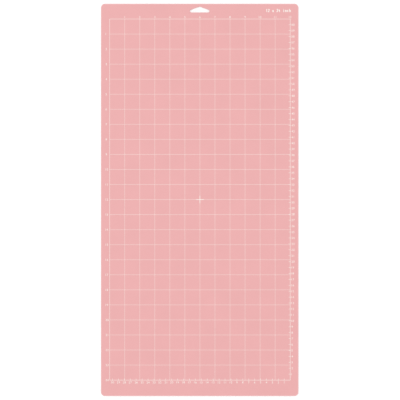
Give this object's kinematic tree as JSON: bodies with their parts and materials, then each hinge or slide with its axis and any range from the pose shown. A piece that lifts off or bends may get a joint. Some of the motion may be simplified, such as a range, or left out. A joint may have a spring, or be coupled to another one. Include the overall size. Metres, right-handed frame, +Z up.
{
  "type": "self healing mat",
  "caption": "Flat self healing cutting mat with a printed inch grid, centimetre edge scales, round corners and a hanging slot.",
  "frame": {"origin": "centre of the underside, where the mat rests", "axes": "+X across the mat, +Y along it towards the hanging slot, +Z up out of the printed face"},
  "size_m": [0.3332, 0.6622, 0.003],
  "materials": {
    "face_skin": "fine matte grain, soft PVC",
    "base_skin": "fine matte grain, soft PVC",
    "backing": "matte, semi-rigid PVC",
    "core": "matte, stiff PVC",
    "print": "screen-printed ink, satin"
  },
  "bodies": {
    "root": {"face_ply": "face_skin", "upper_backing_ply": "backing", "core_ply": "core", "lower_backing_ply": "backing", "base_ply": "base_skin", "grid_lines": "print", "grid_border": "print", "centre_cross": "print", "top_inch_numerals": "print", "left_inch_numerals": "print", "right_cm_ticks": "print", "right_cm_numerals": "print", "bottom_cm_ticks": "print", "bottom_cm_numerals": "print", "size_legend": "print"}
  },
  "joints": []
}
